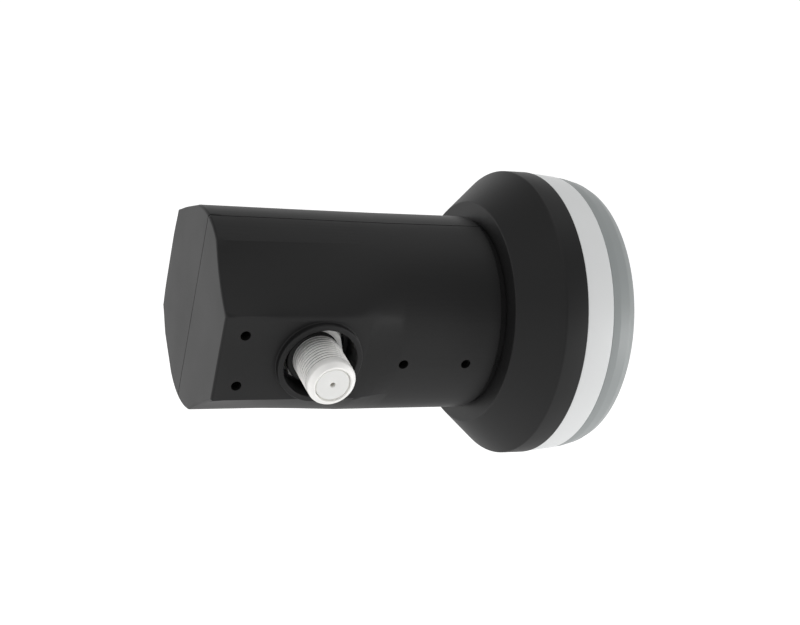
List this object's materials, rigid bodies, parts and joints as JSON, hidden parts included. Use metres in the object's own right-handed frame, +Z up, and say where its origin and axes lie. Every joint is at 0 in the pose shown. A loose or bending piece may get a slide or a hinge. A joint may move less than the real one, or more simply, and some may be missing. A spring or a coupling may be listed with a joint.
{
  "type": "satellite lnb",
  "caption": "Satellite low-noise block converter: black two-shell housing with a round clamp neck, threaded coaxial connector in a collar, flared horn shroud, white ring and grey horn cap.",
  "frame": {"origin": "on the boresight axis, halfway along the round neck that the feed clamp grips", "axes": "+X along the boresight towards the horn cap, -Y the way the F connector points, +Z up in the housing's parting plane; the part is turned about X in its clamp to set its skew"},
  "size_m": [0.0848, 0.0598, 0.0598],
  "materials": {
    "black_housing": "satin black moulded plastic",
    "white_ring": "smooth white moulded plastic",
    "grey_cap": "satin grey moulded plastic",
    "nickel_plate": "bright nickel plate on brass",
    "white_insulator": "natural white insulating plastic",
    "gold_plate": "thin gold plate on bronze",
    "black_rubber": "plain black rubber",
    "die_cast": "as die cast",
    "steel": "zinc plated steel",
    "board_laminate": "green masked laminate",
    "chip_body": "black moulded packages",
    "ceramic": "fired ceramic"
  },
  "bodies": {
    "root": {"front_shell": "black_housing", "back_shell": "black_housing", "horn_shroud": "black_housing", "cap_ring": "white_ring", "horn_cap": "grey_cap", "connector_barrel": "nickel_plate", "connector_insulator": "white_insulator", "probe_bushes": "white_insulator", "connector_contact": "gold_plate", "vertical_probe": "gold_plate", "horizontal_probe": "gold_plate", "cap_seal": "black_rubber", "connector_seal": "black_rubber", "shield_gasket": "black_rubber", "waveguide_casting": "die_cast", "shield_cover": "die_cast", "shield_screws": "steel", "tuning_screws": "steel", "isolation_rod": "steel", "circuit_board": "board_laminate", "low_noise_transistors": "chip_body", "control_chip": "chip_body", "voltage_regulator": "chip_body", "resonator_pucks": "ceramic", "chip_capacitors": "ceramic"}
  },
  "joints": []
}
